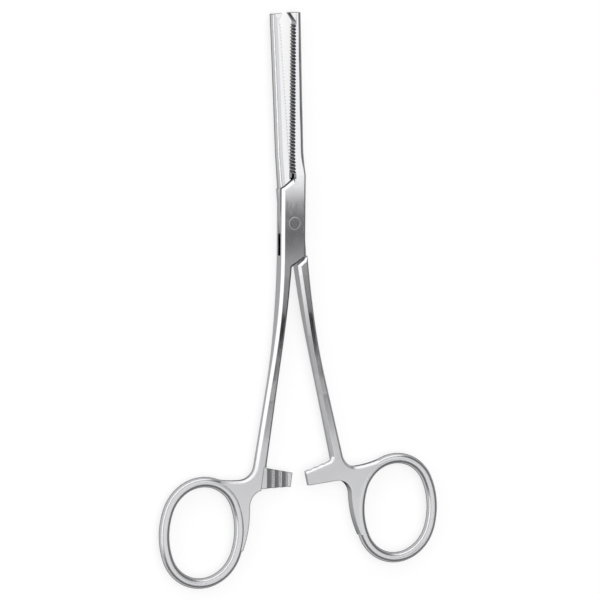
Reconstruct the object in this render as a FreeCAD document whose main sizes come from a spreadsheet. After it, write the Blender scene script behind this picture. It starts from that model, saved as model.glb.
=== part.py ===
"""Straight artery forceps with a box lock, lying flat, opened a few degrees.

Two forged halves cross at the lock.  The slotted half has a box with a slot through
it, the tongued half passes through that slot, and a riveted pin joins them.  Each half
has a half-round jaw with cross grooves and a toothed tip, a tapering shank, a ratchet
arm and a finger ring.

Frame: +Y runs to the tips, +Z is up through the thickness, and the origin lies on the
pin's axis, in the plane of the lock's underside.  Each half is drawn as it lies with
the jaws closed, pin at the origin and half its thickness below zero, and is then
turned and lifted by its own placement.
"""
import FreeCAD, Part
import Sketcher
import math
import os
import re
from FreeCAD import Placement, Rotation, Vector

doc = FreeCAD.newDocument("artery_forceps")
sheet = doc.addObject("Spreadsheet::Sheet", "Sizes")

# Driving dimensions in millimetres and degrees.
SIZES = [
    ("rest_opening", 4.6, "angle between the halves as they lie, degrees"),
    # Lock
    ("lock_width", 7.5, "width of the box"),
    ("lock_thickness", 4.3, "thickness of the box"),
    ("shoulder_height", 9.75, "pin to the shoulders, at the box's sides"),
    ("shoulder_slope", 0.65, "rise of the shoulders over their width"),
    ("shoulder_gap", 0.15, "gap at the shoulders with the jaws closed"),
    ("tongue_thickness", 1.5, "thickness of the tongue"),
    ("tongue_inset", 0.1, "tongue's side behind the box's side"),
    ("slot_gap", 0.05, "play above and below the tongue"),
    ("slot_inset", 0.55, "slot's ends below the shoulders, at the box's sides"),
    ("slot_slope", 1.4, "rise of the slot's ends over their width"),
    ("slot_flat", 2.4, "level part of the slot's ends, at the far side"),
    ("pin_diameter", 2.8, "diameter of the pin"),
    ("pin_head", 3.5, "diameter of the pin's riveted heads"),
    ("pin_play", 0.05, "play all round the pin in the tongue"),
    # Jaw
    ("jaw_length", 59.0, "pin to tip"),
    ("jaw_rise", 1.2, "shoulder's inner end to the start of the slotted half's jaw"),
    ("jaw_sink", 0.85, "tongued half's jaw starts this far inside the lock"),
    ("foot_width", 3.35, "width of the tongued half's jaw at the lock"),
    ("foot_thickness", 3.5, "thickness of the tongued half's jaw at the lock"),
    ("heel_place", 19.5, "pin to the heel section, where the jaw is fully rounded"),
    ("heel_width", 3.4, "jaw width at the heel section"),
    ("middle_place", 36.0, "pin to the middle section of the jaw"),
    ("middle_width", 2.87, "jaw width at the middle section"),
    ("jaw_thickness", 3.15, "jaw thickness at the middle and the heel"),
    ("tip_width", 2.22, "jaw width at the tip"),
    ("tip_thickness", 2.95, "jaw thickness at the tip"),
    ("jaw_round", 1.4, "rounding of the jaw's outer side"),
    ("jaw_gap", 0.06, "gap between the crests of the closed jaws"),
    # Cross grooves and tip teeth
    ("groove_pitch", 0.93, "spacing of the cross grooves"),
    ("groove_depth", 0.42, "depth of a cross groove"),
    ("groove_land", 0.08, "flat left between two grooves"),
    ("groove_inset", 0.9, "start of the jaw to its first groove"),
    ("tooth_reach", 1.2, "how far a tip tooth stands past the middle"),
    ("tooth_run", 2.5, "length of a tip tooth's slope along the jaw"),
    ("tooth_land", 0.2, "blunt edge at the end of a tip tooth"),
    ("tooth_width", 0.95, "thickness of the single tip tooth"),
    ("tooth_gap", 0.12, "clearance round a tip tooth"),
    ("tooth_relief", 0.36, "clearance behind a tip tooth, along the jaw"),
    # Shank
    ("shank_inner_top", 0.45, "shank's inner edge below the lock"),
    ("bend_place", 44.0, "pin to the end of the shank's bend"),
    ("bend_inner", 4.0, "inner edge at the end of the bend"),
    ("bend_width", 2.9, "shank's width at the end of the bend"),
    ("taper_inset", 0.4, "lock to where the shank starts to thin"),
    ("taper_length", 35.0, "length over which the shank thins"),
    ("web_thickness", 2.65, "thickness of shank, web and arm below the taper"),
    ("edge_bevel", 0.75, "bevel along the edges of box and shank"),
    # Ratchet arm
    ("arm_run", 25.3, "end of the bend to the arm's top edge at its root"),
    ("arm_spread", 3.67, "inner edge at the arm, beyond that at the bend"),
    ("arm_fall", 2.0, "how far the arm's top edge falls to its tip"),
    ("arm_height", 6.0, "arm's top edge at its root to its bottom edge"),
    ("arm_corner", 1.0, "rounding between shank and arm"),
    ("arm_reach", 1.0, "arm's tip past the middle, jaws closed"),
    ("arm_tip_slant", 0.55, "how far the tip's face leans back"),
    ("arm_gap", 0.1, "gap between the crests of the two ratchets"),
    ("ratchet_inset", 1.43, "arm's root to the ratchet's recess, at the arm's middle"),
    ("ratchet_lead", 0.4, "recess's upper end above the arm's root"),
    ("ratchet_pitch", 2.3, "spacing of the ratchet teeth"),
    ("ratchet_depth", 0.6, "depth of the ratchet teeth"),
    ("ratchet_land", 0.12, "flat on a ratchet tooth"),
    ("ratchet_first", 0.35, "middle to the crest of the first tooth"),
    # Web between shank, arm and ring
    ("web_drop", 2.95, "web's upper edge below the arm's top edge"),
    ("web_width", 4.15, "shank's width where it meets the web"),
    ("web_curve", 4.5, "radius of the curve from the shank into the web"),
    ("web_level", 4.4, "level stretch of the web's upper edge beside the shank"),
    ("web_angle", 70.0, "where the web's upper edge leaves the ring, degrees"),
    ("web_lap", 1.33, "web's upper edge outside the middle of the ring's wire"),
    ("web_side", 5.4, "arm's root to the web's side under the arm"),
    ("web_side_end", 5.0, "ring's centre to where the web's side starts to bend in"),
    ("web_foot", 6.0, "where the web's side ends, below the ring's centre"),
    ("foot_curve", 4.6, "radius of the curve from the arm into the web's side"),
    # Finger ring
    ("ring_drop", 14.1, "web's upper edge to the ring's centre"),
    ("ring_offset", 14.38, "web's side to the ring's centre"),
    ("ring_width", 20.6, "ring opening across"),
    ("ring_length", 25.9, "ring opening along"),
    ("ring_wire", 2.95, "diameter of the ring's round section"),
    ("ring_end_ease", 0.575, "ring's ends rounder than half its width by this"),
    # Cutting outlines
    ("overrun", 1.2, "how far a cutting outline runs past the part"),
]

ALIASES = [alias for alias, size, note in SIZES]
for row, (alias, size, note) in enumerate(SIZES, start=1):
    sheet.set(f"A{row}", note)
    sheet.set(f"B{row}", str(size))
    sheet.setAlias(f"B{row}", alias)
doc.recompute()

# Places that several sizes give, as expressions over the sheet.
HALF_LOCK = "(lock_width / 2)"
HALF_THICK = "(lock_thickness / 2)"
HALF_WEB = "(web_thickness / 2)"
FACE = "(jaw_gap / 2)"
JAW_ROOT = f"(shoulder_height + shoulder_slope * {HALF_LOCK} + jaw_rise)"
JAW_FOOT = "(shoulder_height - jaw_sink)"
TAPER_START = "(shoulder_height + shoulder_slope * lock_width + taper_inset)"
TAPER_END = f"({TAPER_START} + taper_length)"
BEND_OUTER = "(bend_inner + bend_width)"
ARM_ROOT = "(bend_inner + arm_spread)"
ARM_ALONG = "(bend_place + arm_run)"
ARM_TIP = f"({ARM_ALONG} + arm_fall)"
ARM_BOTTOM = f"({ARM_ALONG} + arm_height)"
WEB_TOP = f"({ARM_ALONG} + web_drop)"
WEB_CORNER = f"({ARM_ROOT} + web_width)"
WEB_SIDE = f"({ARM_ROOT} + web_side)"
RING_ACROSS = f"({WEB_SIDE} + ring_offset)"
RING_ALONG = f"({WEB_TOP} + ring_drop)"
RING_X = "((ring_width + ring_wire) / 2)"
RING_Y = "((ring_length + ring_wire) / 2)"
RING_END = f"({RING_X} - ring_end_ease)"
RING_RISE = f"({RING_Y} - {RING_END})"
RING_SIDE = f"(({RING_RISE}^2 + {RING_X}^2 - {RING_END}^2) / (2 * ring_end_ease))"
# Where a ring's end arc meets its side arc, measured from the ring's centre.
RING_JOIN = f"({RING_SIDE} / ({RING_SIDE} - {RING_END}))"
RING_JOIN_X = f"(({RING_SIDE} - {RING_X}) * ({RING_JOIN} - 1))"
RING_JOIN_Y = f"({RING_RISE} * {RING_JOIN})"
# Inside the ring's wire, where the web's outline is hidden.
WIRE_INSIDE = "(ring_wire / 3)"
WIRE_OUTSIDE = "(ring_wire / 6)"


def bound(text):
    """Expression with the sheet's name put before each of its sizes."""
    return re.sub(r"[a-z_]+", lambda word: "Sizes." + word[0] if word[0] in ALIASES else word[0], text)


def number(text):
    """Value of an expression over the sheet's sizes."""
    return float(sheet.evalExpression(bound(text)))


def arc_edge(start, end, radius, turn):
    """Short arc from start to end; turn is 1 for a left bend and -1 for a right one."""
    chord = end - start
    rise = math.sqrt(radius ** 2 - (chord.Length / 2) ** 2)
    to_left = Vector(-chord.y, chord.x, 0).normalize()
    centre = (start + end) * 0.5 + to_left * (rise * turn)
    circle = Part.Circle(centre, Vector(0, 0, 1), radius)
    first, last = (start, end) if turn > 0 else (end, start)
    return Part.ArcOfCircle(circle, circle.parameter(first), circle.parameter(last))


def tangent_radius(start, end, direction):
    """Radius of the arc from start to end that runs along a direction at one end."""
    chord = end - start
    return chord.Length / (2 * math.sin(chord.getAngle(direction)))


def new_sketch(body, name, plane, height="0"):
    """Sketch on one of the body's own planes, lifted along the plane's normal."""
    sketch = body.newObject("Sketcher::SketchObject", name)
    origin_plane = next(item for item in body.Origin.OriginFeatures if item.Role == plane)
    sketch.AttachmentSupport = [(origin_plane, "")]
    sketch.MapMode = "FlatFace"
    sketch.setExpression("AttachmentOffset.Base.z", bound(height))
    sketch.Visibility = False
    return sketch


def constrain(sketch, kind, *what):
    """Add one constraint and give its number."""
    return sketch.addConstraint(Sketcher.Constraint(kind, *what))


def pin(sketch, kind, edge, end, text):
    """Hold an edge's end at a distance from the origin that follows the sheet."""
    constraint = constrain(sketch, kind, -1, 1, edge, end, number(text))
    sketch.setExpression(f"Constraints[{constraint}]", bound(text))


def draw(sketch, corners, mirror=1):
    """Closed outline through corners, each pinned to the sheet.

    A corner is (x, y), or (x, y, bow, turn) where an arc leads to it.  The bow is a
    radius, or "ahead" or "behind" for an arc that is tangent to the next or the last
    line.  With mirror -1 the outline is drawn the other way round the vertical axis.
    """
    count = len(corners)
    points = [Vector(mirror * number(corner[0]), number(corner[1]), 0) for corner in corners]
    first_edge = sketch.GeometryCount
    ends = []
    for index, corner in enumerate(corners):
        start = points[index - 1]
        end = points[index]
        if len(corner) == 2:
            sketch.addGeometry(Part.LineSegment(start, end))
            ends.append((1, 2))
            continue
        bow, turn = corner[2], corner[3] * mirror
        if bow == "ahead":
            radius = tangent_radius(start, end, points[(index + 1) % count] - end)
        elif bow == "behind":
            radius = tangent_radius(start, end, start - points[index - 2])
        else:
            radius = number(bow)
        sketch.addGeometry(arc_edge(start, end, radius, turn))
        ends.append((1, 2) if turn > 0 else (2, 1))
    sign = "-" if mirror < 0 else ""
    for index, corner in enumerate(corners):
        edge = first_edge + index
        following = (index + 1) % count
        smooth = corner[2:3] == ("ahead",) or corners[following][2:3] == ("behind",)
        constrain(sketch, "Tangent" if smooth else "Coincident",
                  edge, ends[index][1], first_edge + following, ends[following][0])
        pin(sketch, "DistanceX", edge, ends[index][1], f"{sign}({corner[0]})")
        pin(sketch, "DistanceY", edge, ends[index][1], corner[1])
        if len(corner) == 4 and corner[2] not in ("ahead", "behind"):
            constraint = constrain(sketch, "Radius", edge, number(corner[2]))
            sketch.setExpression(f"Constraints[{constraint}]", bound(corner[2]))


def round_sketch(body, name, height, diameter):
    """Circle about the pin's axis."""
    sketch = new_sketch(body, name, "XY_Plane", height)
    circle = sketch.addGeometry(Part.Circle(Vector(0, 0, 0), Vector(0, 0, 1), number(diameter) / 2))
    constrain(sketch, "Coincident", circle, 3, -1, 1)
    size = constrain(sketch, "Diameter", circle, number(diameter))
    sketch.setExpression(f"Constraints[{size}]", bound(diameter))
    return sketch


def finish_feature(body, feature):
    """Recompute a feature, make it the body's tip and give it back."""
    doc.recompute()
    body.Tip = feature
    doc.recompute()
    if feature.Shape.isNull() or not feature.Shape.isValid():
        raise RuntimeError(f"{body.Label}: {feature.Label} has no valid shape")
    return feature


def pad(body, name, sketch, length):
    """Raise a sketch to both sides of its plane."""
    feature = body.newObject("PartDesign::Pad", name)
    feature.Profile = sketch
    feature.SideType = "Symmetric"
    feature.setExpression("Length", bound(length))
    return finish_feature(body, feature)


def see_cut(body, feature, before):
    """Finish a feature that cuts, and see that it took something away."""
    finish_feature(body, feature)
    if feature.Shape.Volume > before - 1e-3:
        raise RuntimeError(f"{body.Label}: {feature.Label} cuts nothing")
    return feature


def pocket(body, name, sketch, length, side="Symmetric", reverse=False):
    """Cut a sketch into the body."""
    before = body.Tip.Shape.Volume
    feature = body.newObject("PartDesign::Pocket", name)
    feature.Profile = sketch
    feature.SideType = side
    feature.Reversed = reverse
    feature.setExpression("Length", bound(length))
    return see_cut(body, feature, before)


def row_of(body, name, original, axis, spacing, count, reverse=False):
    """Repeat a cut along one of the body's axes."""
    before = body.Tip.Shape.Volume
    feature = body.newObject("PartDesign::LinearPattern", name)
    feature.Originals = [original]
    line = next(item for item in body.Origin.OriginFeatures if item.Role == axis)
    feature.Direction = (line, [""])
    feature.Mode = "Spacing"
    feature.setExpression("Offset", bound(spacing))
    feature.setExpression("Occurrences", bound(count))
    feature.Reversed = reverse
    return see_cut(body, feature, before)


def edges_where(feature, chosen):
    """Names of the feature's edges that are chosen by the edge and its middle point."""
    names = []
    for index, edge in enumerate(feature.Shape.Edges, start=1):
        middle = edge.valueAt((edge.FirstParameter + edge.LastParameter) / 2)
        if chosen(edge, middle):
            names.append(f"Edge{index}")
    return names


def bevel(body, name, size, chosen):
    """Bevel the chosen edges of the body."""
    feature = body.newObject("PartDesign::Chamfer", name)
    base = feature.BaseFeature
    feature.Base = (base, edges_where(base, chosen))
    feature.setExpression("Size", bound(size))
    return finish_feature(body, feature)


def new_body(label, turn=0):
    """Body lifted to the middle of the thickness and turned by half the opening."""
    body = doc.addObject("PartDesign::Body", label)
    body.Label = label
    if turn:
        swing = "rest_opening / 2"
        body.Placement = Placement(Vector(0, 0, 0), Rotation(Vector(0, 0, turn), number(swing)))
        body.setExpression("Placement.Rotation.Angle", bound(swing))
    body.setExpression("Placement.Base.z", bound(HALF_THICK))
    return body


def shank_outline():
    """Corners down the shank's inner edge, round arm and web, and up the outer edge."""
    lap = f"({RING_END} + web_lap)"
    return [
        ("-bend_inner", "-bend_place", "ahead", -1),
        (f"-{ARM_ROOT}", f"-{ARM_ALONG}"),
        ("arm_reach", f"-{ARM_TIP}"),
        ("arm_reach - arm_tip_slant", f"-{ARM_BOTTOM}"),
        (f"-{WEB_SIDE}", f"-{ARM_BOTTOM}"),
        (f"-{WEB_SIDE}", f"-{RING_ALONG} + web_side_end"),
        (f"-{RING_ACROSS} + {RING_X} + {WIRE_OUTSIDE}", f"-{RING_ALONG} - web_foot", "behind", -1),
        (f"-{RING_ACROSS} + {RING_X} - {WIRE_INSIDE}", f"-{RING_ALONG} - web_foot"),
        (f"-{RING_ACROSS} + {RING_X}", f"-{RING_ALONG}"),
        (f"-{RING_ACROSS} + {RING_JOIN_X}", f"-{RING_ALONG} + {RING_JOIN_Y}", RING_SIDE, 1),
        (f"-{RING_ACROSS} + {RING_END} * cos(web_angle)",
         f"-{RING_ALONG} + {RING_RISE} + {RING_END} * sin(web_angle)", RING_END, 1),
        (f"-{RING_ACROSS} + {lap} * cos(web_angle)",
         f"-{RING_ALONG} + {RING_RISE} + {lap} * sin(web_angle)"),
        (f"-{WEB_CORNER} - web_level", f"-{WEB_TOP}", "ahead", 1),
        (f"-{WEB_CORNER}", f"-{WEB_TOP}"),
        (f"-{BEND_OUTER}", "-bend_place"),
    ]


def round_corners(body, mirror):
    """Roundings between shank and arm, shank and web, and arm and web's side."""
    for name, x, y, radius in (
        ("arm_corner", f"-{ARM_ROOT}", f"-{ARM_ALONG}", "arm_corner"),
        ("web_corner", f"-{WEB_CORNER}", f"-{WEB_TOP}", "web_curve"),
        ("foot_corner", f"-{WEB_SIDE}", f"-{ARM_BOTTOM}", "foot_curve"),
    ):
        corner = Vector(mirror * number(x), number(y), 0)
        feature = body.newObject("PartDesign::Fillet", name)
        base = feature.BaseFeature
        upright = edges_where(base, lambda edge, middle: middle.distanceToPoint(corner) < 1e-3)
        feature.Base = (base, upright)
        feature.setExpression("Radius", bound(radius))
        finish_feature(body, feature)


def add_taper(body):
    """Shank and ring thinner than the lock: a slope from the lock down to the web."""
    run = "(taper_length / 2)"
    drop = "((lock_thickness - web_thickness) / 4)"
    sweep = f"({run}^2 + {drop}^2) / (2 * {drop})"
    outside = f"{HALF_THICK} + overrun"
    far = f"-{RING_ALONG} - ring_length"
    sketch = new_sketch(body, "thickness_profile", "YZ_Plane")
    for sign, turn in (("", 1), ("-", -1)):
        draw(sketch, [
            (f"-{TAPER_START}", f"{sign}({HALF_THICK})"),
            (f"-{TAPER_START} - {run}", f"{sign}({HALF_THICK} - {drop})", sweep, turn),
            (f"-{TAPER_END}", f"{sign}({HALF_WEB})", sweep, -turn),
            (far, f"{sign}({HALF_WEB})"),
            (far, f"{sign}({outside})"),
            (f"-{TAPER_START}", f"{sign}({outside})"),
        ])
    return pocket(body, "thickness_taper", sketch, f"4 * {RING_ACROSS}")


def bevel_outline(body):
    """Bevels along the front and back edges of lock, shank, web and the arm's upper side."""
    lowest = number(f"-{WEB_TOP}") - 0.3
    arm_level = -number(ARM_TIP)
    shortest = 2 * number("edge_bevel")
    face = number(HALF_WEB) - 0.01
    top = number("shoulder_height")
    creases = [number(JAW_ROOT), number(f"-{TAPER_START}"), number(f"-{TAPER_END}"),
               number(f"-({TAPER_START} + {TAPER_END}) / 2")]

    def chosen(edge, middle):
        ends = [vertex.Point for vertex in edge.Vertexes]
        if abs(middle.z) < face or abs(ends[0].z - ends[-1].z) > face:
            return False
        if middle.y < lowest or edge.Length < shortest and middle.y < arm_level:
            return False
        if any(all(abs(end.y - crease) < 1e-4 for end in ends) for crease in creases):
            return False
        return not all(abs(end.x) < number("jaw_gap") and end.y > top for end in ends)

    return bevel(body, "edge_bevels", "edge_bevel", chosen)


def add_jaw(body, mirror, root):
    """Half-round jaw: a straight neck from the lock to the heel, and on to the tip."""
    tip_round = "jaw_round * tip_thickness / jaw_thickness"
    heel = ("heel", "heel_place", "heel_width", "jaw_thickness / 2", "jaw_round", True)
    for part, stations in (
        ("neck", [root, heel]),
        ("jaw", [
            heel,
            ("middle", "middle_place", "middle_width", "jaw_thickness / 2", "jaw_round", True),
            ("tip", "jaw_length", "tip_width", "tip_thickness / 2", tip_round, True),
        ]),
    ):
        sections = []
        for name, place, width, half, cut, rounded in stations:
            arc = (cut, 1) if rounded else ()
            sketch = new_sketch(body, f"{part}_{name}", "XZ_Plane", f"-({place})")
            draw(sketch, [
                (FACE, f"-({half})"),
                (f"{width} - {cut}", f"-({half})"),
                (width, f"-({half}) + {cut}") + arc,
                (width, f"{half} - {cut}"),
                (f"{width} - {cut}", half) + arc,
                (FACE, half),
            ], mirror)
            sections.append(sketch)
        doc.recompute()
        feature = body.newObject("PartDesign::AdditiveLoft", part)
        feature.Profile = sections[0]
        feature.Sections = sections[1:]
        finish_feature(body, feature)


def add_grooves(body, mirror, shift):
    """Cross grooves over the jaw's tooth face, with plain stretches at both ends."""
    first = f"({JAW_ROOT} + groove_inset + {shift} * groove_pitch)"
    count = f"floor((jaw_length - tooth_run - {JAW_ROOT} - groove_inset) / groove_pitch)"
    half_mouth = "(groove_pitch - groove_land) / 2"
    last = f"({first} + ({count} - 1) * groove_pitch)"
    floor = f"{FACE} + groove_depth"
    sketch = new_sketch(body, "groove_profile", "XY_Plane")
    draw(sketch, [
        (FACE, f"{first} - {half_mouth}"),
        (floor, first),
        (FACE, f"{first} + {half_mouth}"),
    ], mirror)
    groove = pocket(body, "groove", sketch, "2 * lock_thickness")
    row_of(body, "grooves", groove, "Y_Axis", "groove_pitch", count)
    sketch = new_sketch(body, "plain_ends", "XY_Plane")
    for low, high in ((f"{JAW_ROOT} - groove_inset", f"{first} - {half_mouth}"),
                      (f"{last} + {half_mouth}", "jaw_length + overrun")):
        draw(sketch, [
            ("-overrun", low),
            (floor, low),
            (floor, high),
            ("-overrun", high),
        ], mirror)
    return pocket(body, "plain_stretches", sketch, "2 * lock_thickness")


def tip_tooth(body, mirror, width):
    """Hooked tooth at the jaw's tip, raised past the middle."""
    sketch = new_sketch(body, "tip_tooth_profile", "XY_Plane")
    draw(sketch, [
        (f"{FACE} + groove_depth", "jaw_length - tooth_run"),
        ("-tooth_reach", "jaw_length - tooth_land"),
        ("-tooth_reach", "jaw_length"),
        (f"{FACE} + groove_depth", "jaw_length"),
    ], mirror)
    return pad(body, "tip_tooth", sketch, width)


def tooth_seat():
    """Outline of the notch that takes the other half's tooth, along that tooth's slope."""
    return [
        ("-tooth_reach - overrun", "jaw_length - tooth_run - tooth_relief"),
        (f"-{FACE} - groove_depth", "jaw_length - tooth_run - tooth_relief"),
        ("tooth_reach + tooth_gap", "jaw_length - tooth_land - tooth_relief"),
        ("tooth_reach + tooth_gap", "jaw_length + overrun"),
        ("-tooth_reach - overrun", "jaw_length + overrun"),
    ]


def add_ring(body, mirror):
    """Finger ring: a round section carried along an oval of arcs."""
    right = f"-{RING_ACROSS} + {RING_JOIN_X}"
    left = f"-{RING_ACROSS} - {RING_JOIN_X}"
    top = f"-{RING_ALONG} + {RING_JOIN_Y}"
    bottom = f"-{RING_ALONG} - {RING_JOIN_Y}"
    lowest = f"-{RING_ALONG} - {RING_Y}"
    oval = [
        (right, bottom, RING_END, 1),
        (right, top, RING_SIDE, 1),
        (left, top, RING_END, 1),
        (left, bottom, RING_SIDE, 1),
        (f"-{RING_ACROSS}", lowest, RING_END, 1),
    ]
    spine = new_sketch(body, "ring_line", "XY_Plane")
    draw(spine, oval, mirror)
    section = new_sketch(body, "ring_section", "YZ_Plane", f"{mirror} * -{RING_ACROSS}")
    circle = section.addGeometry(Part.Circle(Vector(number(lowest), 0, 0), Vector(0, 0, 1),
                                             number("ring_wire / 2")))
    pin(section, "DistanceX", circle, 3, lowest)
    pin(section, "DistanceY", circle, 3, "0")
    wire = constrain(section, "Diameter", circle, number("ring_wire"))
    section.setExpression(f"Constraints[{wire}]", bound("ring_wire"))
    doc.recompute()
    feature = body.newObject("PartDesign::AdditivePipe", "ring")
    feature.Profile = section
    feature.Spine = (spine, [f"Edge{index}" for index in range(1, len(oval) + 1)])
    return finish_feature(body, feature)


def cut_ratchet(body, mirror, up):
    """Ratchet arm: a recess down to the crests, then three saw teeth across it."""
    sign = "" if up else "-"
    crest = f"{sign}(-arm_gap / 2)"
    slope = "(arm_spread / arm_run)"
    middle = f"({ARM_ALONG} + {ARM_BOTTOM}) / 2"
    above = f"({ARM_ALONG} - ratchet_lead)"
    below = f"({ARM_BOTTOM} + 2 * overrun)"
    sketch = new_sketch(body, "ratchet_recess", "XY_Plane", crest)
    draw(sketch, [
        (f"-{ARM_ROOT} - ratchet_inset - {slope} * ({below} - {middle})", f"-{below}"),
        ("arm_reach + overrun", f"-{below}"),
        ("arm_reach + overrun", f"-{above}"),
        (f"-{ARM_ROOT} - ratchet_inset - {slope} * ({above} - {middle})", f"-{above}"),
    ], mirror)
    pocket(body, "recess", sketch, "lock_thickness", "One side", up)
    sketch = new_sketch(body, "ratchet_gap", "XZ_Plane", above)
    draw(sketch, [
        ("-ratchet_first", crest),
        ("-ratchet_first", f"{sign}(-arm_gap / 2 - ratchet_depth)"),
        ("-ratchet_first - ratchet_pitch + ratchet_land", crest),
    ], mirror)
    gap = pocket(body, "ratchet_tooth_gap", sketch, f"{below} - {above}", "One side", True)
    return row_of(body, "ratchet_teeth", gap, "X_Axis", "ratchet_pitch", "3", mirror > 0)


def slotted_half():
    """Half with the box: its jaw lies to the right, its shank and ring to the left."""
    body = new_body("female_half", turn=-1)
    plan = new_sketch(body, "plan", "XY_Plane")
    draw(plan, [
        (HALF_LOCK, JAW_ROOT),
        (HALF_LOCK, "-shoulder_height"),
        ("-shank_inner_top", f"-shoulder_height - shoulder_slope * ({HALF_LOCK} + shank_inner_top)"),
    ] + shank_outline() + [
        (f"-{HALF_LOCK}", "-shoulder_height", "behind", 1),
        (f"-{HALF_LOCK}", "shoulder_height"),
        (FACE, f"shoulder_height + shoulder_slope * ({HALF_LOCK} + {FACE})"),
        (FACE, JAW_ROOT),
    ])
    pad(body, "forging", plan, "lock_thickness")
    round_corners(body, 1)
    add_taper(body)
    bevel_outline(body)
    add_jaw(body, 1, ("root", JAW_ROOT, HALF_LOCK, HALF_THICK, "edge_bevel", False))
    add_ring(body, 1)

    # Slot from side to side, with slanting ends beside the jaw and beside the shank.
    slot = new_sketch(body, "slot_profile", "XY_Plane")
    out = f"({HALF_LOCK} + overrun)"
    level = f"({HALF_LOCK} - slot_flat)"
    near = "(shoulder_height - slot_inset - overrun * slot_slope)"
    far = "(shoulder_height - slot_inset + (lock_width - slot_flat) * slot_slope)"
    draw(slot, [
        (f"-{out}", f"-{near}"),
        (level, f"-{far}"),
        (out, f"-{far}"),
        (out, near),
        (f"-{level}", far),
        (f"-{out}", far),
    ])
    pocket(body, "slot", slot, "tongue_thickness + 2 * slot_gap")

    # Pin hole through both walls, countersunk for the riveted heads.
    hole = round_sketch(body, "pin_hole_profile", "0", "pin_diameter")
    pocket(body, "pin_hole", hole, "2 * lock_thickness")
    rim = number("pin_diameter / 2")
    top = number(HALF_THICK)

    def at_rim(edge, middle):
        on_face = abs(abs(middle.z) - top) < 1e-4
        return on_face and abs(math.hypot(middle.x, middle.y) - rim) < 1e-4

    bevel(body, "countersinks", "(pin_head - pin_diameter) / 2", at_rim)
    add_grooves(body, 1, "0")
    tip_tooth(body, 1, "tip_thickness - 2 * tooth_gap")
    notch = new_sketch(body, "tooth_notch_profile", "XY_Plane")
    draw(notch, tooth_seat())
    pocket(body, "tooth_notch", notch, "tooth_width + 2 * tooth_gap")
    cut_ratchet(body, 1, up=True)
    return body


def tongued_half():
    """Half with the tongue: its jaw lies to the left, its shank and ring to the right."""
    body = new_body("male_half", turn=1)
    side = f"({HALF_LOCK} - tongue_inset)"
    shoulder = "(shoulder_height + shoulder_gap)"
    crotch = f"-{shoulder} - shoulder_slope * ({HALF_LOCK} - shank_inner_top) + 2 * shoulder_gap"
    plan = new_sketch(body, "plan", "XY_Plane")
    draw(plan, [
        (side, "0"),
        ("-shank_inner_top", crotch),
    ] + shank_outline() + [
        (f"-{HALF_LOCK}", "-shoulder_height", "behind", 1),
        (f"-{side}", "-shoulder_height"),
        (f"-{side}", "0"),
    ], -1)
    pad(body, "forging", plan, "lock_thickness")
    round_corners(body, -1)
    add_taper(body)

    # Tongue through the slot, up to the shoulder below the jaw.
    tongue = new_sketch(body, "tongue_profile", "XY_Plane")
    draw(tongue, [
        (side, "-pin_diameter"),
        (side, shoulder),
        (FACE, f"{shoulder} + shoulder_slope * {HALF_LOCK}"),
        (f"-{side}", "0"),
        (f"-{side}", "-pin_diameter"),
    ], -1)
    pad(body, "tongue", tongue, "tongue_thickness")

    # Cheeks cut away from both faces, below the pin before the bevels and above it after.
    reach = f"({HALF_LOCK} + overrun)"
    lower = [
        (reach, "pin_diameter"),
        (reach, f"-{shoulder} - (lock_width + overrun) * shoulder_slope"),
        (f"-{reach}", f"-{shoulder} + overrun * shoulder_slope"),
        (f"-{reach}", "pin_diameter"),
    ]
    upper = [
        (reach, f"{shoulder} - overrun * shoulder_slope"),
        (reach, "pin_diameter"),
        (f"-{reach}", "pin_diameter"),
        (f"-{reach}", f"{shoulder} + (lock_width + overrun) * shoulder_slope"),
    ]

    def cut_cheeks(name, outline):
        for sign, face in (("", "front"), ("-", "back")):
            cheek = new_sketch(body, f"{face}_{name}_profile", "XY_Plane", f"{sign}(tongue_thickness / 2)")
            draw(cheek, outline, -1)
            pocket(body, f"{face}_{name}", cheek, "lock_thickness", "One side", sign == "")

    cut_cheeks("cheek", lower)
    bevel_outline(body)
    add_jaw(body, -1, ("foot", JAW_FOOT, "foot_width", "foot_thickness / 2", "jaw_round", True))
    cut_cheeks("shoulder", upper)
    add_ring(body, -1)

    hole = round_sketch(body, "pin_hole_profile", "0", "pin_diameter + 2 * pin_play")
    pocket(body, "pin_hole", hole, "2 * lock_thickness")
    add_grooves(body, -1, "0.5")
    tip_tooth(body, -1, "tooth_width")
    for sign, name in (("", "front_tooth_seat"), ("-", "back_tooth_seat")):
        seat = new_sketch(body, f"{name}_profile", "XY_Plane", f"{sign}(tooth_width / 2)")
        draw(seat, tooth_seat(), -1)
        pocket(body, name, seat, "lock_thickness", "One side", sign == "")
    cut_ratchet(body, -1, up=False)
    return body


def pivot_pin():
    """Pin riveted flush with the box, a cone under each head."""
    body = new_body("pivot_pin")
    shaft = round_sketch(body, "shaft_profile", "0", "pin_diameter")
    pad(body, "shaft", shaft, "lock_thickness")
    cone = "(pin_head - pin_diameter) / 2"
    heads = new_sketch(body, "head_profile", "XZ_Plane")
    for sign in ("", "-"):
        draw(heads, [
            ("0", f"{sign}({HALF_THICK})"),
            ("pin_head / 2", f"{sign}({HALF_THICK})"),
            ("pin_diameter / 2", f"{sign}({HALF_THICK} - {cone})"),
            ("0", f"{sign}({HALF_THICK} - {cone})"),
        ])
    doc.recompute()
    feature = body.newObject("PartDesign::Revolution", "heads")
    feature.Profile = heads
    axis = next(item for item in body.Origin.OriginFeatures if item.Role == "Z_Axis")
    feature.ReferenceAxis = (axis, [""])
    feature.Angle = 360
    finish_feature(body, feature)
    return body


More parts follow.
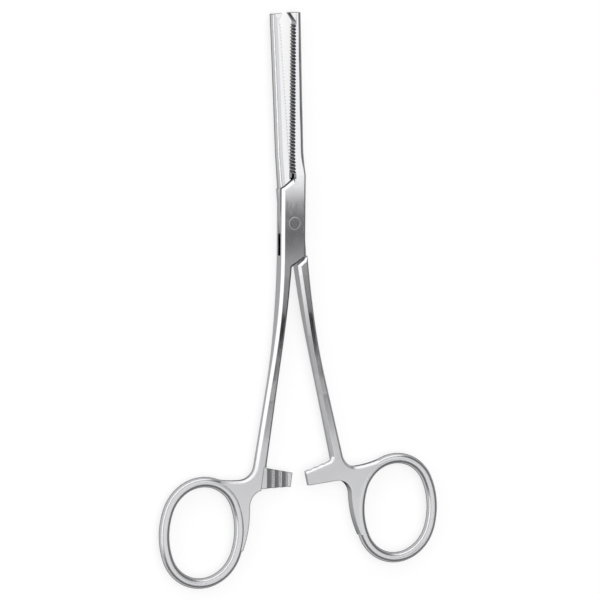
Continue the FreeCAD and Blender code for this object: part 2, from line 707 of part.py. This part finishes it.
def check(bodies):
    """Stop if any object failed, or a piece has no sound shape."""
    for item in doc.Objects:
        if "Invalid" in item.State or "Error" in item.State:
            raise RuntimeError(f"{item.Label} failed: {item.State}")
    for body in bodies:
        if body.Shape.isNull() or not body.Shape.isValid() or len(body.Shape.Solids) != 1:
            raise RuntimeError(f"{body.Label} is not one sound solid")
        box = body.Shape.BoundBox
        print(f"{body.Label}: {body.Shape.Volume:.1f} mm3, x {box.XMin:.2f} {box.XMax:.2f},"
              f" y {box.YMin:.2f} {box.YMax:.2f}, z {box.ZMin:.2f} {box.ZMax:.2f}")


pieces = [slotted_half(), tongued_half(), pivot_pin()]
doc.recompute()
check(pieces)
os.makedirs("parts", exist_ok=True)
for piece in pieces:
    piece.Shape.exportStep(f"parts/{piece.Label}.step")
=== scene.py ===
# %% [markdown]
# # Artery forceps in polished and satin steel
#
# The solids come ready from the CAD model: two forged halves and the pin that joins them.  This
# lesson gives them their finish and photographs them.  Almost everything that is seen of such an
# instrument is what its steel reflects, so the studio matters as much as the materials.

import math

import bpy
from mathutils import Matrix, Vector


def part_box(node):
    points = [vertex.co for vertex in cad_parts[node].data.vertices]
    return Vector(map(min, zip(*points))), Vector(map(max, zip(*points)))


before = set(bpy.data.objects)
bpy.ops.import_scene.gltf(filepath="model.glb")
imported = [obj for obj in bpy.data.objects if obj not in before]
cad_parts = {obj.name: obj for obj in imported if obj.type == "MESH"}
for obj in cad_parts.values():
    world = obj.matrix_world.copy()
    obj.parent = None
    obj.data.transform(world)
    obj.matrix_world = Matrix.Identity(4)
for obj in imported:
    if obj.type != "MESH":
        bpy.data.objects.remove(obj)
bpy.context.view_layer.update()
MM = 0.001
mid_height = (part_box("pivot_pin")[0].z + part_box("pivot_pin")[1].z) / 2
print("nodes:", sorted(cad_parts), "mid-plane at", round(mid_height / MM, 3), "mm")

# %% [markdown]
# ## Camera
#
# The photograph was taken from well above, a little to the left of the instrument and a little
# towards its tips.  The angle was found from the two halves, which are mirror images of each
# other: only one direction of view turns one outline into the other.  A long lens 1.3 m away
# gives the same slight perspective.

# %% Camera where the photographer stood
AZIMUTH = math.radians(27.0)
ELEVATION = math.radians(8.7)
ROLL = math.radians(-1.65)
DISTANCE = 1304.0 * MM
LENS = 277.9
CLIP = (0.05, 20.0)
TARGET = Vector((2.08 * MM, -22.23 * MM, mid_height))

back = Vector((-math.sin(AZIMUTH) * math.cos(ELEVATION), math.sin(ELEVATION),
               math.cos(AZIMUTH) * math.cos(ELEVATION)))
upright = (Vector((0, 1, 0)) - back * back.y).normalized()
across = upright.cross(back)
right = across * math.cos(ROLL) + upright * math.sin(ROLL)
up = upright * math.cos(ROLL) - across * math.sin(ROLL)
camera_data = bpy.data.cameras.new("camera")
camera_data.lens = LENS
camera_data.clip_start, camera_data.clip_end = CLIP
camera = bpy.data.objects.new("camera", camera_data)
bpy.context.scene.collection.objects.link(camera)
turn = Matrix((right, up, back)).transposed().to_4x4()
camera.matrix_world = Matrix.Translation(TARGET + back * DISTANCE) @ turn
bpy.context.scene.camera = camera
print("camera at", [round(c, 4) for c in camera.location])

# %% [markdown]
# ## Helpers for the materials
#
# Colours are written as the sRGB values that a screen shows and turned to the linear values that
# the shader wants.  One function adds a node, with its settings and its links.

# %% Colour and node helpers
def linear(hex_code):
    """Linear colour of an sRGB hex value."""
    channels = [int(hex_code[i:i + 2], 16) / 255 for i in (1, 3, 5)]
    return [c / 12.92 if c <= 0.04045 else ((c + 0.055) / 1.055) ** 2.4 for c in channels] + [1.0]


def add(tree, kind, settings=None, **inputs):
    """Add a node.  An input is a value, or another node's output socket to link.

    Inputs are given by name, or by number where names repeat: _0 is the first.
    """
    node = tree.nodes.new(kind)
    for name, value in (settings or {}).items():
        setattr(node, name, value)
    for name, value in inputs.items():
        key = int(name[1:]) if name[0] == "_" and name[1:].isdigit() else name.replace("_", " ")
        if isinstance(value, bpy.types.NodeSocket):
            tree.links.new(value, node.inputs[key])
        else:
            node.inputs[key].default_value = value
    return node


def calculate(tree, operation, first, second):
    """Result of a sum, a product or the like of two values."""
    node = add(tree, "ShaderNodeMath", {"operation": operation}, _0=first, _1=second)
    return node.outputs["Value"]


def passage(tree, value, change, ends, kind="LINEAR"):
    """Passage between two end values, over the change of a value."""
    return add(tree, "ShaderNodeMapRange", {"interpolation_type": kind}, Value=value,
               From_Min=change[0], From_Max=change[1], To_Min=ends[0],
               To_Max=ends[1]).outputs["Result"]


def new_material(name):
    """Empty material and its output node."""
    material = bpy.data.materials.new(name)
    material.use_nodes = True
    tree = material.node_tree
    tree.nodes.clear()
    return material, tree, tree.nodes.new("ShaderNodeOutputMaterial")


print("mid grey in linear light:", round(linear("#808080")[0], 3))

# %% [markdown]
# ## Steel
#
# The halves are forged martensitic stainless steel, ground, tumbled and polished to a satin.  The
# polishing belt leaves fine marks that run mostly along the instrument, a few hundredths of a
# millimetre wide.  In the picture they only blur the reflections along one direction, so they are
# drawn coarser than they are, 0.12 mm apart, as a very slight change of roughness and height.
#
# Hand polishing also takes the sharpness off every edge: by a tenth of a millimetre at the jaws
# and the lock, by half a millimetre at the rings.  Each softened edge catches a thin bright line.
# Steep faces look nearly black in the photograph, which draws the outline of the instrument on
# its white ground, so the steel's tint at glancing angles is almost black.

# %% Satin forged stainless steel
FORGED_COLOUR, PIN_COLOUR = "#bcbcbe", "#b8b8ba"
FORGED_GRAIN, PIN_GRAIN = 0.004 * MM, 0.003 * MM
GLANCING_TINT = "#101011"
ROUGHNESS, RING_ROUGHNESS = 0.06, 0.2
ROUGHNESS_SPREAD = (-0.03, 0.05)
BELT_MARK = 0.12 * MM
MARK_STRETCH = 0.06
MARK_STRENGTH = 0.25
MARK_DETAIL, MARK_CONTRAST = 3.0, 0.6
CLOUD = 6.0 * MM
CLOUD_SHARE = 0.5
CLOUD_DETAIL, CLOUD_CONTRAST = 2.0, 0.5
NOISE_RANGE = (0.45, 1.05)
JAW_EDGE, RING_EDGE = 0.12 * MM, 0.45 * MM
EDGE_SAMPLES = 8
RING_PASSAGE = (-70 * MM, -60 * MM)


def steel(name, colour, grain_height):
    """Polished stainless steel with belt marks along the instrument and faint clouds."""
    material, tree, output = new_material(name)
    place = add(tree, "ShaderNodeTexCoord").outputs["Object"]
    # The belt marks blur what the steel mirrors across the instrument.
    stretch = (1 / BELT_MARK, MARK_STRETCH / BELT_MARK, 1 / BELT_MARK)
    stretched = add(tree, "ShaderNodeMapping", Vector=place, Scale=stretch).outputs["Vector"]
    marks = add(tree, "ShaderNodeTexNoise", Vector=stretched, Scale=1.0, Detail=MARK_DETAIL,
                Roughness=MARK_CONTRAST).outputs["Fac"]
    # The clouds are the uneven hand of the polisher: patches a little duller than the rest.
    clouds = add(tree, "ShaderNodeTexNoise", Vector=place, Scale=1 / CLOUD, Detail=CLOUD_DETAIL,
                 Roughness=CLOUD_CONTRAST).outputs["Fac"]
    noise = calculate(tree, "ADD", calculate(tree, "MULTIPLY", clouds, CLOUD_SHARE), marks)
    # The rings are tumbled rather than polished: their highlights are broader and softer.
    along = add(tree, "ShaderNodeSeparateXYZ", Vector=place).outputs["Y"]
    dullness = passage(tree, along, RING_PASSAGE, (RING_ROUGHNESS, ROUGHNESS))
    unevenness = passage(tree, noise, NOISE_RANGE, ROUGHNESS_SPREAD)
    roughness = calculate(tree, "ADD", dullness, unevenness)
    # The softened edges give the thin bright lines along the jaws, the box and the rings.
    edges = add(tree, "ShaderNodeBevel", {"samples": EDGE_SAMPLES},
                Radius=passage(tree, along, RING_PASSAGE, (RING_EDGE, JAW_EDGE)))
    bump = add(tree, "ShaderNodeBump", Height=marks, Strength=MARK_STRENGTH, Distance=grain_height,
               Normal=edges.outputs["Normal"])
    shader = add(tree, "ShaderNodeBsdfPrincipled", Base_Color=linear(colour), Metallic=1.0,
                 Roughness=roughness, Normal=bump.outputs["Normal"],
                 Specular_Tint=linear(GLANCING_TINT))
    tree.links.new(shader.outputs["BSDF"], output.inputs["Surface"])
    return material


forged_steel = steel("satin_stainless_steel", FORGED_COLOUR, FORGED_GRAIN)
pin_steel = steel("ground_stainless_steel", PIN_COLOUR, PIN_GRAIN)
for node_name, material in (("female_half", forged_steel), ("male_half", forged_steel),
                            ("pivot_pin", pin_steel)):
    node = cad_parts[node_name]
    node.data.materials.clear()
    node.data.materials.append(material)
    print(node_name, "takes", material.name)

# %% [markdown]
# ## Floor
#
# The instrument lies on a plain white sweep.  To the camera and in mirrors it shows a share of
# pure white of its own, so it stays white under plain light and still takes a faint shadow.

# %% Floor
FLOOR_SIZE = 4.0
FLOOR_GAP = 0.02 * MM
FLOOR_GLOW = 0.7


def add_plane(name, size, place):
    """A stage plane, facing up."""
    bpy.ops.mesh.primitive_plane_add(size=size, location=place)
    plane = bpy.context.object
    plane.name = name
    return plane


floor = add_plane("floor", FLOOR_SIZE, (0, 0, -FLOOR_GAP))
material, tree, output = new_material("white_sweep")
rays = add(tree, "ShaderNodeLightPath").outputs
seen = calculate(tree, "MAXIMUM", rays["Is Camera Ray"], rays["Is Transmission Ray"])
seen = calculate(tree, "MAXIMUM", seen, rays["Is Glossy Ray"])
lit = add(tree, "ShaderNodeBsdfDiffuse", Color=linear("#ffffff"))
glow = add(tree, "ShaderNodeEmission", Color=linear("#ffffff"), Strength=1.0)
both = add(tree, "ShaderNodeMixShader", _0=calculate(tree, "MULTIPLY", seen, FLOOR_GLOW),
           _1=lit.outputs["BSDF"], _2=glow.outputs["Emission"])
tree.links.new(both.outputs["Shader"], output.inputs["Surface"])
floor.data.materials.append(material)
print("floor", FLOOR_SIZE, "m across")

# %% [markdown]
# ## Grey cards
#
# Bright steel needs something darker to mirror, or it fades into the background.  The flat faces
# of the lock and the shanks mirror one patch half a metre above the floor, to the right of the
# instrument.  A card hangs there, in soft bands of grey that give the lock its even mid grey and
# the shanks their slow change from grey to white.  A small darker card hangs lower down, where
# only the sloping upper part of the shanks mirrors it.  Neither is seen by the camera.
# Sides and bands are in millimetres, along X and along Y.

# %% Grey cards over the lock and the shanks
LOCK_CARD_SIDES = (185, 325)
LOCK_CARD_HEIGHT = 500 * MM
LOCK_BANDS = (
    (-164, "#dadada"),
    (-150, "#dadada"),
    (-144, "#a0a0a0"),
    (-130, "#a8a8a8"),
    (-104, "#b8b8b8"),
    (-99, "#cccccc"),
    (-89, "#cccccc"),
    (-85, "#868686"),
    (-65, "#868686"),
)
SHANK_CARD_SIDES = (62, 95)
SHANK_CARD_HEIGHT = 150 * MM
SHANK_BANDS = ((-76, "#4c4c4c"), (-60, "#4c4c4c"))


def add_card(name, sides, bands, height):
    """Matt card between two sides, in bands of grey from its near to its far edge, in mm."""
    left, right = sides
    near, far = bands[0][0], bands[-1][0]
    card = add_plane(name, 1.0, ((left + right) / 2 * MM, (near + far) / 2 * MM, height))
    card.scale = ((right - left) * MM, (far - near) * MM, 1)
    bpy.ops.object.transform_apply(location=True, rotation=False, scale=True)
    card.visible_camera = False
    material, tree, output = new_material(name)
    place = add(tree, "ShaderNodeTexCoord").outputs["Object"]
    along = add(tree, "ShaderNodeSeparateXYZ", Vector=place).outputs["Y"]
    share = passage(tree, along, (near * MM, far * MM), (0.0, 1.0))
    ramp = add(tree, "ShaderNodeValToRGB", Fac=share)
    stops = ramp.color_ramp.elements
    while len(stops) < len(bands):
        stops.new(1.0)
    for stop, (place_y, grey) in zip(stops, bands):
        stop.position = (place_y - near) / (far - near)
        stop.color = linear(grey)
    paper = add(tree, "ShaderNodeBsdfDiffuse", Color=ramp.outputs["Color"])
    tree.links.new(paper.outputs["BSDF"], output.inputs["Surface"])
    card.data.materials.append(material)
    print(name, [round(c / MM) for c in card.dimensions], "mm")


add_card("lock_card", LOCK_CARD_SIDES, LOCK_BANDS, LOCK_CARD_HEIGHT)
add_card("shank_card", SHANK_CARD_SIDES, SHANK_BANDS, SHANK_CARD_HEIGHT)

# %% [markdown]
# ## World
#
# The room is dim near the horizon and bright overhead, as in a light tent that is open at its
# sides: flat faces turn light and steep ones dark.  One long soft light stands low at the far
# left.  It draws the white bevels down the left sides and the bright rims of the rings.

# %% World
HORIZON, OVERHEAD = 0.25, 1.34
CEILING_EDGE = (0.60, 0.76)
SIDE_LIGHT = 1.8
SIDE_DIRECTION = (-0.6, 0.8, 0.0)
SIDE_ENDS = (0.04, 0.34)
SIDE_BOTTOM, SIDE_TOP = (0.03, 0.14), (0.50, 0.62)

world = bpy.data.worlds.new("studio")
world.use_nodes = True
bpy.context.scene.world = world
tree = world.node_tree
direction = add(tree, "ShaderNodeTexCoord").outputs["Generated"]
height = add(tree, "ShaderNodeSeparateXYZ", Vector=direction).outputs["Z"]
ceiling = passage(tree, height, CEILING_EDGE, (HORIZON, OVERHEAD), "SMOOTHSTEP")
towards_side = add(tree, "ShaderNodeVectorMath", {"operation": "DOT_PRODUCT"}, _0=direction,
                   _1=SIDE_DIRECTION).outputs["Value"]
side_light = calculate(tree, "MULTIPLY",
                       passage(tree, height, SIDE_BOTTOM, (0.0, SIDE_LIGHT), "SMOOTHSTEP"),
                       passage(tree, height, SIDE_TOP, (1.0, 0.0), "SMOOTHSTEP"))
side_light = calculate(tree, "MULTIPLY", side_light,
                       passage(tree, towards_side, SIDE_ENDS, (0.0, 1.0), "SMOOTHSTEP"))
background = tree.nodes["Background"]
background.inputs["Color"].default_value = linear("#ffffff")
tree.links.new(calculate(tree, "ADD", ceiling, side_light), background.inputs["Strength"])
bpy.context.scene.view_settings.view_transform = "Standard"
print("world strength from", HORIZON, "at the horizon to", OVERHEAD, "overhead")

# %% [markdown]
# ## Lamp
#
# The jaws face a part of the ceiling that lies just past the cards.  One small soft lamp there
# makes their faces a little lighter than the lock, as in the photograph.

# %% Lamp over the jaws
JAW_LIGHT_PLACE = (255 * MM, 26 * MM, 500 * MM)
JAW_LIGHT_SIZE = (140 * MM, 180 * MM)
JAW_LIGHT_RADIANCE = 0.42


def add_lamp(name, place, size, radiance):
    """Soft rectangular lamp that shines straight down."""
    data = bpy.data.lights.new(name, "AREA")
    data.shape = "RECTANGLE"
    data.size, data.size_y = size
    data.energy = math.pi * size[0] * size[1] * radiance
    lamp = bpy.data.objects.new(name, data)
    lamp.location = place
    lamp.visible_camera = False
    bpy.context.scene.collection.objects.link(lamp)
    print(name, round(data.energy, 3), "W at", place)


add_lamp("jaw_light", JAW_LIGHT_PLACE, JAW_LIGHT_SIZE, JAW_LIGHT_RADIANCE)
